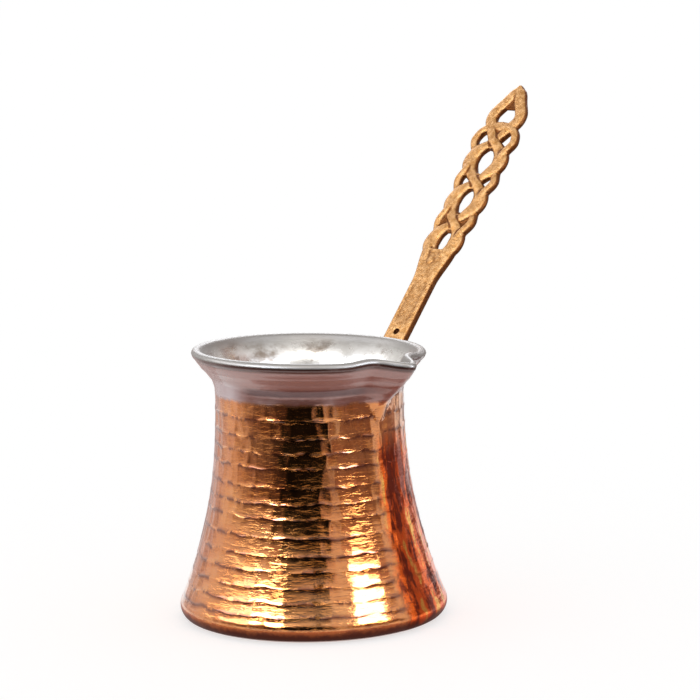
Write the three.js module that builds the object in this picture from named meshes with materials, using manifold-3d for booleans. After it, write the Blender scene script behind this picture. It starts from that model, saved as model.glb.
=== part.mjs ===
// A copper cezve with a cast brass handle, in millimetres, +Z up.
// The origin is the middle of the flat base, the handle points along +X and the spout along -Y.
import * as THREE from 'three';
import { mergeVertices } from 'three/addons/utils/BufferGeometryUtils.js';
import Module from 'manifold-3d';

const wasm = await Module();
wasm.setup();

const radians = THREE.MathUtils.degToRad;

// Copper pot
const wallThickness = 1.2;
const baseRadius = 44.65;
const heelRadius = 4.6;
const wallLean = radians(21.5);     // how far the wall leans in from upright above the heel
const heelPull = 30.9;              // how far the wall keeps its lean above the heel
const neckRadius = 31.45;
const neckHeight = 77;
const neckPull = 23.4;              // how far the wall stays upright below the neck
const lipFlare = 7.35;              // how far the lip stands out past the neck
const lipRise = 12.9;               // how far the lip stands above the neck
const lipRadius = neckRadius + lipFlare;
const lipHeight = neckHeight + lipRise;
const lipEdge = 1.5;                // radius of the rounded edge of the lip
const lipDrop = 1.15;               // how far the lip dips towards the handle and rises opposite it
const flareRise = 4.2;              // how far the flare stays upright above the neck
const flarePull = 3.8;              // how far the flare keeps its slope below the lip
const flareSlope = radians(60);     // slope of the flare where it meets the lip

// Spout pressed into the lip
const spoutAngle = radians(-90);
const spoutReach = 8.4;
const spoutWidth = 4.9;             // half width where the spout has dropped to about a third
const spoutBelow = 7;               // how far below the neck the pressed channel starts
const spoutBottom = neckHeight - spoutBelow;
const spoutRise = 12;               // height over which it reaches full depth
const spoutDip = 0.45;              // how far its tip lies below the lip
const flankLift = 1;                // how far the lip rises on each side of the spout
const flankSpread = 9.8;            // distance from the middle of the spout to each flank
const flankWidth = 6.2;

// Tin on the inside
const tinThickness = 0.3;
const tinSeat = 0.2;                // play between the tin and the copper

// Cast brass handle: upright foot against the neck, then a straight stem with a plaited end
const footThickness = 2.6;
const footSeat = 0.3;               // play between the foot and the pot
const footLand = 4.6;               // brass round the middle of each rivet
const handleAngle = radians(49.8);  // slope of the stem above level
const lipClearance = 4.3;           // level distance from the lip to the middle of the stem
const markBelow = 1.9;              // how far below the lip the stem mark is
const handleReach = lipRadius + lipClearance;
const handleMark = lipHeight - markBelow;   // height of the stem mark, where the handle's lengths start
const handleThickness = 3;
const stemHalfWidth = 4.7;
const stemLength = 22;
const stemChamfer = 0.35;
const stemStep = 0.3;               // how far the stem stands out from the face of the foot
const stemRoot = 4;                 // where it rises out of the foot, above the land of the lower rivet
const stemRootTaper = 0.8;          // its width there as a share of the full width
const bendRadius = 7;
const shoulderLength = 13.5;        // where the stem widens into the plait
const shoulderHalfWidth = 6.9;
const panelRim = 1.2;               // rim left round the sunk panel
const panelDepth = 0.45;
const panelStart = 4.5;
const hangHole = 1.1;               // radius of the small hole at the bottom of the stem
const hangHolePlace = 1.6;

// Plait: two strands cross in the middle and a wavy strand runs down each side
const plaitStart = 38.55;           // middle of the first eye
const plaitStep = 8.53;             // from the middle of an eye to the next crossing
const plaitSteps = 5;               // from the first eye to the last crossing
const leafGap = 0.8;                // from the last crossing to the start of the leaf
const plaitEnd = plaitStart + plaitSteps * plaitStep + leafGap;
const innerSwing = 5.25;            // how far the crossing strands swing out beside an eye
const sideNear = 5.15;              // middle of a side strand beside an eye
const sideFar = 6.8;                // middle of a side strand beside a crossing
const plaitGrowth = 0.3;            // the plait is wider at its end than at its start by this share
const plaitBow = 0.85;              // how far its middle bows sideways
const innerHalfWidth = 1.4;         // of a crossing strand where it crosses
const innerBroadening = 1.6;        // how much wider it is beside an eye
const sideHalfWidth = 1.55;
const strandHalfThickness = 1.4;
const strandChamfer = 0.6;
const innerFullness = 1.5;          // above 1, a crossing strand is broad only close to the eye
const sideFullness = 2.2;           // above 1, a side strand stands out only close to the crossing
const weaveHeight = 0.3;
const pitFloorHalf = 0.5;           // half thickness of the brass at the bottom of the first side gaps
const leafLength = 23.1;
const leafHalfWidth = 6.4;          // from its middle to the middle of its strand
const leafStrandHalfWidth = 2.45;
const leafTipHalfWidth = 0.7;
// The leaf's edge from its start to just below its tip, as shares of its length and half width.
const leafEdge = [[0.24, 0.67], [0.34, 0.94], [0.45, 0.96], [0.52, 0.86], [0.68, 0.49], [0.82, 0.25]];
// How the side strands close over the last crossing, as shares: distance on of the leaf's length,
// distance from the middle of their spread, half width of their own.
const strandClose = [[0.114, 0.9, 1], [0.19, 0.67, 1.06], [0.218, 0.37, 1.42], [0.221, 0, 1.66]];

// Rivets
const rivetShank = 1.6;
const rivetPlay = 0.3;              // play round the shanks and under the heads
const rivetHead = 2.9;
const rivetHeadHeight = 1.7;
const rivetTail = 2.7;
const rivetTailHeight = 0.9;
const rivetTailBevel = 0.6;         // how far the hammered edge of the tail is turned over
const rivetSpread = 6.9;            // distance of each upper rivet from the middle
const rivetBelowNeck = 7.4;
const rivetDrop = 13.6;             // from the upper rivets down to the lower one
const rivetUpperHeight = neckHeight - rivetBelowNeck;
const rivetLowerHeight = rivetUpperHeight - rivetDrop;

// Number of flats that stand for the round shapes
const turnSteps = 60;
const turnCrowding = 0.7;           // how strongly the flats are drawn together at the spout
const heelSteps = 4;
const wallSteps = 11;
const wallCrowding = 1.7;           // above 1, the steps get shorter towards the neck
const flareSteps = 5;
const lipSteps = 7;
const rivetSides = 16;
const domeSteps = 4;
const bendSteps = 4;
const shoulderSteps = 4;
const strandStep = 2.2;             // length of each straight piece of a strand

const copper = { color: 0xc0703a, roughness: 0.28, metalness: 1 };
const tin = { color: 0xc9c6c0, roughness: 0.32, metalness: 1 };
const brass = { color: 0xc98f4e, roughness: 0.5, metalness: 1 };

const point = (x, y) => new THREE.Vector2(x, y);
const around = (centre, radius, angle) =>
  point(centre.x + radius * Math.cos(angle), centre.y + radius * Math.sin(angle));

// A closed triangle mesh as a solid that can be joined and cut.
function toSolid(geometry) {
  const bare = geometry.clone();
  bare.deleteAttribute('normal');
  bare.deleteAttribute('uv');
  const merged = mergeVertices(bare, 1e-4);
  const index = merged.index.array;
  const triangles = [];
  for (let i = 0; i < index.length; i += 3) {
    const [a, b, c] = [index[i], index[i + 1], index[i + 2]];
    if (a !== b && b !== c && c !== a) {
      triangles.push(a, b, c);
    }
  }
  return new wasm.Manifold(new wasm.Mesh({
    numProp: 3,
    vertProperties: new Float32Array(merged.attributes.position.array),
    triVerts: new Uint32Array(triangles),
  }));
}

function toMesh(name, solid, finish) {
  const mesh = solid.getMesh();
  const geometry = new THREE.BufferGeometry();
  geometry.setAttribute('position', new THREE.BufferAttribute(mesh.vertProperties, 3));
  geometry.setIndex(new THREE.BufferAttribute(mesh.triVerts, 1));
  geometry.computeVertexNormals();
  const result = new THREE.Mesh(geometry, new THREE.MeshStandardMaterial(finish));
  result.name = name;
  return result;
}

// Skin over a row of closed rings with equal counts, with a fan over each end.
function loft(rings) {
  const count = rings[0].length;
  const positions = [];
  const triangle = (...corners) => corners.forEach((corner) => positions.push(...corner.toArray()));
  for (let i = 0; i + 1 < rings.length; i += 1) {
    for (let j = 0; j < count; j += 1) {
      const k = (j + 1) % count;
      triangle(rings[i][j], rings[i][k], rings[i + 1][k]);
      triangle(rings[i][j], rings[i + 1][k], rings[i + 1][j]);
    }
  }
  const last = rings.length - 1;
  for (let j = 1; j + 1 < count; j += 1) {
    triangle(rings[0][0], rings[0][j + 1], rings[0][j]);
    triangle(rings[last][0], rings[last][j], rings[last][j + 1]);
  }
  const geometry = new THREE.BufferGeometry();
  geometry.setAttribute('position', new THREE.Float32BufferAttribute(positions, 3));
  return geometry;
}

// How far the spout and the slant of the lip move a point of the pot at the given angle and height.
function lipShift(angle, height) {
  const across = Math.atan2(Math.sin(angle - spoutAngle), Math.cos(angle - spoutAngle)) * lipRadius;
  const rise = THREE.MathUtils.smoothstep(height, spoutBottom, spoutBottom + spoutRise);
  const mouth = THREE.MathUtils.smoothstep(height, neckHeight, lipHeight);
  const beak = Math.exp(-((across / spoutWidth) ** 2));
  const flanks = Math.exp(-(((Math.abs(across) - flankSpread) / flankWidth) ** 2));
  return {
    out: rise * spoutReach * beak,
    up: mouth * (flankLift * flanks - spoutDip * beak - lipDrop * Math.cos(angle)),
  };
}

// Triangles of a turned skin, with each four-sided patch split along its shorter diagonal.
function shortestSplits(position, count) {
  const corner = (i) => new THREE.Vector3().fromBufferAttribute(position, i);
  const index = [];
  for (let i = 0; i < position.count - count; i += 1) {
    if (i % count < count - 1) {
      const [a, b, c, d] = [i, i + count, i + count + 1, i + 1];
      const rising = corner(a).distanceTo(corner(c)) < corner(b).distanceTo(corner(d));
      index.push(...(rising ? [a, b, c, a, c, d] : [a, b, d, b, c, d]));
    }
  }
  return index;
}

// A ring or bowl turned round the pot's axis from a closed profile, with the spout pressed into it.
// The guide gives the height at which each profile point takes its share of the spout.
function turned(profile, guide = profile) {
  const geometry = new THREE.LatheGeometry(profile, turnSteps);
  geometry.rotateX(Math.PI / 2);
  const position = geometry.attributes.position;
  for (let i = 0; i < position.count; i += 1) {
    const [x, y, z] = [position.getX(i), position.getY(i), position.getZ(i)];
    const radius = Math.hypot(x, y);
    if (radius > 1e-6) {
      const even = Math.round((Math.atan2(y, x) / Math.PI) * turnSteps) * (Math.PI / turnSteps);
      const angle = even - turnCrowding * Math.sin(even - spoutAngle);
      const shift = lipShift(angle, guide[i % profile.length].y);
      const reach = radius + shift.out;
      position.setXYZ(i, reach * Math.cos(angle), reach * Math.sin(angle), z + shift.up);
    }
  }
  geometry.setIndex(shortestSplits(position, profile.length));
  return toSolid(geometry);
}

// Each point of an open profile moved square to it, to the left of its direction.
function offset(points, distance) {
  return points.map((here, i) => {
    const before = points[Math.max(i - 1, 0)];
    const after = points[Math.min(i + 1, points.length - 1)];
    const along = after.clone().sub(before).normalize();
    return point(here.x - along.y * distance, here.y + along.x * distance);
  });
}

// Outer profile from the flat base round the heel and up the wall to the neck.
const heelCentre = point(baseRadius - heelRadius, heelRadius);
const heelTop = around(heelCentre, heelRadius, wallLean);
const neck = point(neckRadius, neckHeight);
const heelCurve = new THREE.EllipseCurve(
  heelCentre.x, heelCentre.y, heelRadius, heelRadius, -Math.PI / 2, wallLean);
const wallCurve = new THREE.CubicBezierCurve(
  heelTop,
  around(heelTop, heelPull, Math.PI / 2 + wallLean),
  point(neck.x, neck.y - neckPull),
  neck);

// Lip: a rounded edge whose underside meets the flare and whose inner side runs down the flare's slope.
const lipCentre = point(lipRadius - lipEdge, lipHeight - lipEdge);
const lipUnder = -Math.PI / 3;
const lipInner = flareSlope + Math.PI / 2;
const lipCurve = new THREE.EllipseCurve(
  lipCentre.x, lipCentre.y, lipEdge, lipEdge, lipUnder, lipInner);
const flareTop = around(lipCentre, lipEdge, lipUnder);
const flareCurve = new THREE.CubicBezierCurve(
  neck,
  point(neck.x, neck.y + flareRise),
  around(flareTop, -flarePull, flareSlope),
  flareTop);
const mouthTop = around(lipCentre, lipEdge, lipInner);
const mouthCurve = new THREE.CubicBezierCurve(
  point(neck.x - wallThickness, neck.y),
  point(neck.x - wallThickness, neck.y + flareRise),
  around(mouthTop, -flarePull, flareSlope),
  mouthTop);

const heelPoints = heelCurve.getPoints(heelSteps);
const wallPoints = Array.from({ length: wallSteps + 1 }, (_, i) =>
  wallCurve.getPoint(1 - (1 - i / wallSteps) ** wallCrowding));
const flarePoints = flareCurve.getPoints(flareSteps);
const lipPoints = lipCurve.getPoints(lipSteps);
const mouthPoints = mouthCurve.getPoints(flareSteps);

// Inner profile from the middle of the floor up to the lip.
const innerHeel = new THREE.EllipseCurve(
  heelCentre.x, heelCentre.y, heelRadius - wallThickness, heelRadius - wallThickness,
  -Math.PI / 2, wallLean).getPoints(heelSteps);
const innerPoints = [
  point(0, wallThickness),
  ...innerHeel,
  ...offset(wallPoints, wallThickness).slice(1, -1),
  ...mouthPoints,
];

// Radius of the outer wall at a height, and how far it leans in from upright there.
function wallAt(height) {
  const above = wallPoints.findIndex((spot) => spot.y >= height);
  const [low, high] = [wallPoints[above - 1], wallPoints[above]];
  return {
    radius: THREE.MathUtils.lerp(low.x, high.x, (height - low.y) / (high.y - low.y)),
    lean: Math.atan2(low.x - high.x, high.y - low.y),
  };
}

const rivetPlaces = {
  rivet_upper_left: { side: rivetSpread, height: rivetUpperHeight },
  rivet_upper_right: { side: -rivetSpread, height: rivetUpperHeight },
  rivet_lower: { side: 0, height: rivetLowerHeight },
};

// A shape turned round its own axis from a profile of radius and distance outwards, set on the wall.
function onWall(profile, { side, height }) {
  const { radius, lean } = wallAt(height);
  const geometry = new THREE.LatheGeometry(profile, rivetSides);
  geometry.rotateZ(-Math.PI / 2);
  geometry.rotateY(-lean);
  geometry.translate(radius, 0, height);
  geometry.rotateZ(Math.asin(side / radius));
  return toSolid(geometry);
}

function rivet(place) {
  const bow = rivetTail ** 2 / (2 * wallAt(place.height).radius);
  const headFace = footSeat + footThickness + rivetPlay;
  const tailFace = -(wallThickness + tinSeat + tinThickness + rivetPlay + bow);
  const dome = Array.from({ length: domeSteps }, (_, i) => (i / domeSteps) * (Math.PI / 2));
  const profile = [
    point(0, tailFace - rivetTailHeight),
    point(rivetTail - rivetTailBevel, tailFace - rivetTailHeight),
    point(rivetTail, tailFace - rivetTailHeight + rivetTailBevel),
    point(rivetTail, tailFace),
    point(rivetShank, tailFace),
    point(rivetShank, headFace),
    ...dome.map((angle) => point(
      rivetHead * Math.cos(angle), headFace + rivetHeadHeight * Math.sin(angle))),
    point(0, headFace + rivetHeadHeight),
  ];
  return onWall(profile, place);
}

function rivetHole(place) {
  const radius = rivetShank + rivetPlay;
  const deep = 2 * footThickness + wallThickness;
  return onWall([point(0, -deep), point(radius, -deep), point(radius, deep), point(0, deep)], place);
}

const rivetHoles = Object.values(rivetPlaces).map(rivetHole);
const drilled = (solid) => rivetHoles.reduce((rest, hole) => rest.subtract(hole), solid);

function potBody() {
  const profile = [
    point(0, 0),
    ...heelPoints,
    ...wallPoints.slice(1),
    ...flarePoints.slice(1),
    ...lipPoints.slice(1),
    ...innerPoints.slice(0, -1).reverse(),
  ];
  return drilled(turned(profile));
}

function tinLining() {
  const outside = offset(innerPoints, tinSeat);
  const inside = offset(innerPoints, tinSeat + tinThickness);
  outside[0].x = 0;
  inside[0].x = 0;
  return drilled(turned(
    [...outside, ...inside.reverse()], [...innerPoints, ...innerPoints.slice().reverse()]));
}

// Foot: three rivet lands joined by straight edges, cut from a shell that follows the wall.
function handleFoot() {
  const side = Math.atan2(rivetSpread, rivetUpperHeight - rivetLowerHeight);
  const outline = new THREE.Shape();
  outline.absarc(rivetSpread, rivetUpperHeight, footLand, -side, Math.PI / 2);
  outline.absarc(-rivetSpread, rivetUpperHeight, footLand, Math.PI / 2, Math.PI + side);
  outline.absarc(0, rivetLowerHeight, footLand, Math.PI + side, 2 * Math.PI - side);
  const block = new THREE.ExtrudeGeometry(
    outline, { depth: baseRadius, bevelEnabled: false, curveSegments: 7 });
  block.applyMatrix4(new THREE.Matrix4().makeBasis(
    new THREE.Vector3(0, 1, 0), new THREE.Vector3(0, 0, 1), new THREE.Vector3(1, 0, 0)));
  const shell = turned([
    ...offset(wallPoints, -footSeat - footThickness),
    ...offset(wallPoints, -footSeat).reverse(),
    offset(wallPoints, -footSeat - footThickness)[0],
  ]);
  return shell.intersect(toSolid(block));
}

// Directions of the straight part of the handle: along it, across it and out of its upper face.
const along = new THREE.Vector3(Math.cos(handleAngle), 0, Math.sin(handleAngle));
const across = new THREE.Vector3(0, 1, 0);
const upward = new THREE.Vector3(-Math.sin(handleAngle), 0, Math.cos(handleAngle));
const mark = new THREE.Vector3(handleReach, 0, handleMark);

function onHandle(distance, side, lift) {
  return mark.clone()
    .addScaledVector(along, distance)
    .addScaledVector(across, side)
    .addScaledVector(upward, lift);
}

// Section of a flat bar with chamfered edges, from its middle and its sideways and upward directions.
function barRing(centre, sideways, lift, halfWidth, halfThickness, chamfer) {
  const corners = [
    [halfWidth, halfThickness - chamfer], [halfWidth - chamfer, halfThickness],
    [chamfer - halfWidth, halfThickness], [-halfWidth, halfThickness - chamfer],
    [-halfWidth, chamfer - halfThickness], [chamfer - halfWidth, -halfThickness],
    [halfWidth - chamfer, -halfThickness], [halfWidth, chamfer - halfThickness],
  ];
  return corners.map(([side, height]) => centre.clone()
    .addScaledVector(sideways, side)
    .addScaledVector(lift, height));
}

// Stem: up the middle of the foot, round the bend, then straight to the shoulder of the plait.
function handleStem() {
  const footX = neckRadius + footSeat + stemStep + handleThickness / 2;
  const bendHeight = handleMark - (handleReach - footX) * Math.tan(handleAngle);
  const turn = Math.PI / 2 - handleAngle;
  const tangent = bendRadius * Math.tan(turn / 2);
  const stations = [[
    new THREE.Vector3(footX, 0, rivetLowerHeight + footLand + stemRoot), 0, stemHalfWidth * stemRootTaper]];
  for (let i = 0; i <= bendSteps; i += 1) {
    const angle = (turn * i) / bendSteps;
    stations.push([
      new THREE.Vector3(
        footX + bendRadius * (1 - Math.cos(angle)), 0, bendHeight - tangent + bendRadius * Math.sin(angle)),
      angle,
      stemHalfWidth,
    ]);
  }
  stations.push([onHandle(stemLength, 0, 0), turn, stemHalfWidth]);
  for (let i = 1; i <= shoulderSteps; i += 1) {
    const width = THREE.MathUtils.lerp(
      stemHalfWidth, shoulderHalfWidth, THREE.MathUtils.smoothstep(i, 0, shoulderSteps));
    stations.push([onHandle(stemLength + (shoulderLength * i) / shoulderSteps, 0, 0), turn, width]);
  }
  return toSolid(loft(stations.map(([centre, angle, halfWidth]) => barRing(
    centre, across, new THREE.Vector3(-Math.cos(angle), 0, Math.sin(angle)),
    halfWidth, handleThickness / 2, stemChamfer))));
}

// Sunk panel on the upper face of the stem, and the small round hole below it.
function stemPanel() {
  const halfWidth = stemHalfWidth - panelRim;
  const ends = [panelStart, stemLength].map((distance) => barRing(
    onHandle(distance, 0, handleThickness / 2), across, upward, halfWidth, panelDepth, panelDepth / 2));
  return toSolid(loft(ends));
}

function hangingHole() {
  const geometry = new THREE.CylinderGeometry(hangHole, hangHole, 2 * handleThickness, 12);
  geometry.applyMatrix4(new THREE.Matrix4().makeBasis(across, upward, along));
  const place = onHandle(hangHolePlace, 0, 0);
  geometry.translate(place.x, place.y, place.z);
  return toSolid(geometry);
}

// A strand along a row of points on the handle, each with its distance, side, lift and half width.
function strand(route) {
  const spots = route.map(([distance, side, lift]) => onHandle(distance, side, lift));
  return toSolid(loft(spots.map((spot, i) => {
    const before = spots[Math.max(i - 1, 0)];
    const after = spots[Math.min(i + 1, spots.length - 1)];
    const heading = after.clone().sub(before).normalize();
    const sideways = new THREE.Vector3().crossVectors(upward, heading).normalize();
    const lift = new THREE.Vector3().crossVectors(heading, sideways);
    return barRing(spot, sideways, lift, route[i][3], strandHalfThickness, strandChamfer);
  })));
}

const crossings = (distance) => (2 * (distance - plaitStart)) / plaitStep;
const plaitShare = (distance) => (distance - plaitStart) / (plaitEnd - plaitStart);
const widening = (distance) => 1 + plaitGrowth * plaitShare(distance);
const bow = (distance) =>
  -plaitBow * Math.sin(Math.PI * THREE.MathUtils.clamp(plaitShare(distance), 0, 1));
const evenSteps = (from, to) => {
  const count = Math.ceil((to - from) / strandStep);
  return Array.from({ length: count + 1 }, (_, i) => from + ((to - from) * i) / count);
};

// The two strands that cross in the middle and end in the leaf.
function innerRoute(hand) {
  const swing = evenSteps(plaitStart - plaitStep, plaitEnd).map((distance) => {
    const turn = (crossings(distance) * Math.PI) / 4;
    return [
      distance,
      hand * innerSwing * widening(distance) * Math.cos(turn) + bow(distance),
      -hand * weaveHeight * Math.cos(4 * turn) * Math.sin(turn),
      innerHalfWidth + innerBroadening * Math.abs(Math.cos(turn)) ** innerFullness,
    ];
  });
  const [, lastSide] = swing[swing.length - 1];
  const outward = Math.sign(lastSide) * leafHalfWidth;
  const leaf = [...leafEdge, [1 - leafStrandHalfWidth / leafLength, 0]];
  const tip = [plaitEnd + leafLength, 0, 0, leafTipHalfWidth];
  return [...swing, ...leaf.map(([length, share]) =>
    [plaitEnd + length * leafLength, outward * share, 0, leafStrandHalfWidth]), tip];
}

// A side strand waves out beside each crossing, then closes over the last one below the leaf.
function sideRoute(hand) {
  const root = stemHalfWidth - sideHalfWidth;
  const wave = evenSteps(plaitStart - plaitStep, plaitEnd).map((distance) => {
    const turn = (crossings(distance) * Math.PI) / 2;
    const swing = THREE.MathUtils.lerp(sideNear, sideFar, ((1 - Math.cos(turn)) / 2) ** sideFullness);
    const side = THREE.MathUtils.lerp(
      root, swing, THREE.MathUtils.smoothstep(distance, plaitStart - plaitStep, plaitStart));
    return [
      distance,
      hand * side * widening(distance) + bow(distance),
      -hand * weaveHeight * Math.sin(turn),
      sideHalfWidth,
    ];
  });
  const spread = hand * sideFar * widening(plaitEnd);
  return [...wave, ...strandClose.map(([length, share, width]) =>
    [plaitEnd + length * leafLength, spread * share, 0, sideHalfWidth * width])];
}

// Thin brass left standing in the first pair of side gaps, so that they are pits and not holes.
function pitFloor() {
  const ends = [plaitStart + plaitStep / 2, plaitStart + (3 * plaitStep) / 2].map((distance) => barRing(
    onHandle(distance, bow(distance), 0), across, upward, sideFar, pitFloorHalf, pitFloorHalf / 2));
  return toSolid(loft(ends));
}

function handle() {
  const strands = [innerRoute(1), innerRoute(-1), sideRoute(1), sideRoute(-1)].map(strand);
  const bar = handleStem().subtract(stemPanel()).subtract(hangingHole());
  return drilled([handleFoot(), pitFloor(), ...strands].reduce((whole, piece) => whole.add(piece), bar));
}

const cezve = new THREE.Group();
cezve.add(toMesh('pot_body', potBody(), copper));
cezve.add(toMesh('tin_lining', tinLining(), tin));
cezve.add(toMesh('handle', handle(), brass));
for (const [name, place] of Object.entries(rivetPlaces)) {
  cezve.add(toMesh(name, rivet(place), brass));
}

export default cezve;
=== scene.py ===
from math import cos, pi, radians, sin, tan

import bpy
import numpy as np
from mathutils import Matrix, Vector


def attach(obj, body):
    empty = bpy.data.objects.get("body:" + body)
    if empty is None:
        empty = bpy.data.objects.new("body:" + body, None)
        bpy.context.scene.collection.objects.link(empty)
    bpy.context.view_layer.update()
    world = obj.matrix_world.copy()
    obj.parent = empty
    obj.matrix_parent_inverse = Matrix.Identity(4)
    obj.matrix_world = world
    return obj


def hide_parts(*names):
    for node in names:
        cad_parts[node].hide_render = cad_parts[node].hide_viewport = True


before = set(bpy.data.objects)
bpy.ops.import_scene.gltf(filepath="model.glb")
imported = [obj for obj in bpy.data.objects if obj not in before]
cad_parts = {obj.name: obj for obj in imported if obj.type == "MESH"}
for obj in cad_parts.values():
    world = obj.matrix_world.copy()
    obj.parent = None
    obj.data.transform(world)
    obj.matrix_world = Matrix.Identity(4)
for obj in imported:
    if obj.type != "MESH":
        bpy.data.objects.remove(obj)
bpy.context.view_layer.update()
millimetre = 0.001     # shapes are worked out in millimetres and made metres in makeMesh
print("frame loaded:", sorted(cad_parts))


def addObject(name, data):
    item = bpy.data.objects.new(name, data)
    bpy.context.scene.collection.objects.link(item)
    return item


def addAttributes(mesh, attributes):
    # one number for each point under each label
    for label, values in attributes.items():
        layer = mesh.attributes.new(label, "FLOAT", "POINT")
        layer.data.foreach_set("value", np.asarray(values, np.float32).ravel())


def makeMesh(name, points, faces, attributes=None, smooth=True):
    # points in millimetres, faces as a list of integer arrays with 3 or 4 corners per row
    mesh = bpy.data.meshes.new(name)
    points = np.asarray(points, float).reshape(-1, 3)
    mesh.vertices.add(len(points))
    mesh.vertices.foreach_set("co", (points * millimetre).astype(np.float32).ravel())
    corners = np.concatenate([part.ravel() for part in faces])
    sizes = np.concatenate([np.full(len(part), part.shape[1]) for part in faces])
    starts = np.concatenate([[0], np.cumsum(sizes)[:-1]])
    mesh.loops.add(len(corners))
    mesh.loops.foreach_set("vertex_index", corners.astype(np.int32))
    mesh.polygons.add(len(sizes))
    mesh.polygons.foreach_set("loop_start", starts.astype(np.int32))
    mesh.update(calc_edges=True)
    if smooth:
        mesh.shade_smooth()
    addAttributes(mesh, attributes or {})
    return addObject(name, mesh)


def ringFaces(rows, columns):
    # quads of a grid whose columns close on themselves; rows run so that columns x rows points outwards
    i, j = np.meshgrid(np.arange(rows - 1), np.arange(columns), indexing="ij")
    k = (j + 1) % columns
    return np.stack([i * columns + j, i * columns + k, (i + 1) * columns + k, (i + 1) * columns + j],
                    -1).reshape(-1, 4)


def poleToPole(grid, attributes=None):
    # closes a grid of rings with one point, the mean of its end ring, at each end: returns points, faces and
    # attributes
    rows, columns, _ = grid.shape
    inner = grid[1:-1].reshape(-1, 3)
    ends = np.stack([grid[0].mean(0), grid[-1].mean(0)])
    points = np.concatenate([inner, ends])
    first, last = len(inner), len(inner) + 1
    j = np.arange(columns)
    k = (j + 1) % columns
    base = (rows - 3) * columns
    caps = np.concatenate([
        np.stack([np.full(columns, first), k, j], -1),
        np.stack([np.full(columns, last), base + j, base + k], -1)])
    faces = [ringFaces(rows - 2, columns), caps]
    packed = {label: np.concatenate([value[1:-1].ravel(), [value[0].mean(), value[-1].mean()]])
              for label, value in (attributes or {}).items()}
    return points, faces, packed


def unit(vectors):
    # each vector divided by its length
    return vectors / np.maximum(np.linalg.norm(vectors, axis=-1, keepdims=True), 1e-9)


def roundTurn(count):
    # angles evenly spread over one turn
    return np.linspace(0, 2 * pi, count, endpoint=False)


def roundAxis(reach, angle, height):
    # points at a distance from the upright axis, an angle round it and a height
    return np.stack(np.broadcast_arrays(reach * np.cos(angle), reach * np.sin(angle), height), -1)


def smoothStep(value, low, high):
    # 0 below low, 1 above high, and between them 3 x^2 - 2 x^3 of the share x
    share = np.clip((value - low) / (high - low), 0, 1)
    return share * share * (3 - 2 * share)


def waves(angle, height, seed, turns, count=9, rises=0.3):
    # soft wandering value near -1 to 1: a sum of cosines with seeded rates and phases, closed round the pot
    draw = np.random.default_rng(seed)
    total = np.zeros(np.broadcast(angle, height).shape)
    for _ in range(count):
        total = total + np.cos(draw.integers(1, turns) * angle + draw.uniform(-rises, rises) * height
                               + draw.uniform(0, 2 * pi))
    return total / np.sqrt(count)


potShape = {
    "wall": 1.2, "baseRadius": 44.65, "heelRadius": 4.6,
    "wallLean": radians(21.5), "heelPull": 30.9,
    "neckRadius": 31.45, "neckHeight": 77.0, "neckPull": 23.4,
    "lipRadius": 38.8, "lipHeight": 89.9, "lipEdge": 1.5, "lipDrop": 1.15,
    "flareRise": 4.2, "flarePull": 3.8, "flareSlope": radians(60),
    "spoutAngle": radians(-90), "spoutReach": 8.4, "spoutWidth": 4.9, "spoutBottom": 70.0,
    "spoutRise": 12.0, "spoutDip": 0.45, "flankLift": 1.0, "flankSpread": 9.8, "flankWidth": 6.2,
    # turning marks on the smooth neck: height, how far they stand out, half width
    "turningMarks": [(84.4, 0.10, 0.35), (82.9, -0.05, 0.4), (80.6, -0.12, 0.6), (78.9, 0.05, 0.5)],
    "columns": 440,
    # how far apart the rings of points are along each stretch of the profile
    "steps": {"floor": 6.5, "heel": 0.8, "flare": 0.38, "lip": 0.5, "mouth": 3.0, "innerWall": 10.0,
              "innerHeel": 2.5},
    "innerRing": 20.0,       # radius of the one ring on the inner floor
}

hammerMarks = {
    # heights of the lines between the rows of blows, from the heel to the neck
    "rowEdges": [4.0, 8.6, 12.9, 17.6, 22.6, 27.4, 33.0, 38.9, 43.6, 48.9, 55.2, 60.1, 65.0, 70.9, 76.6],
    "bandDepth": 0.06,       # how far a row is beaten in along its middle
    "blowDepth": 0.075,      # how much further each blow goes in
    "blowBase": 0.3,         # added to every blow, as a share of its depth
    "blowWidth": 3.9,
    "blowSpread": 0.45,      # how much the blows differ in depth, as a share
    "blowJitter": 0.25,      # how far a blow strays from its place along the row, in blow widths
    "sideTilt": 0.3,         # how much more a blow goes in on its left or right, as a share of its depth
    "upTilt": 0.8,           # the same for its upper or lower side
    "rowSpread": 0.4,        # how much the rows differ in depth, as a share
    "lowest": 0.5, "highest": 1.25,   # how much of the full depth the lowest and the highest row have
    "lineWobble": 0.28,      # how far the lines wander up and down
    "lineWidth": 0.75,       # half width of the painted shade specks along the lines
    "blowMerge": 5.0,        # how sharp the edges between neighbouring blows are
    "patchiness": 0.45,      # how much the beating differs from patch to patch, as a share
    "patchLimits": (0.25, 1.9),
    "patchTurns": 14, "wobbleTurns": 44,    # how fast the patches and the lines may change round the pot
    # rings of points in each row, from -1 at its lower line to 1 at its upper line
    "rings": [-1, -0.93, -0.82, -0.64, -0.38, -0.1, 0.2, 0.48, 0.7, 0.86, 0.95],
    "seed": 11,
}


def bezier(start, pullOut, pullIn, end, share):
    # cubic curve from start to end, drawn towards the two pulls on its way
    share = np.asarray(share)[:, None]
    return ((1 - share) ** 3 * start + 3 * (1 - share) ** 2 * share * pullOut
            + 3 * (1 - share) * share ** 2 * pullIn + share ** 3 * end)


def polar(centre, radius, angle):
    # points on a circle round a centre
    return np.stack([centre[0] + radius * np.cos(angle), centre[1] + radius * np.sin(angle)], -1)


def offsetLine(line, distance):
    # an open line moved to the left of its direction
    along = unit(np.gradient(line, axis=0))
    return line + distance * np.stack([-along[:, 1], along[:, 0]], -1)


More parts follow.
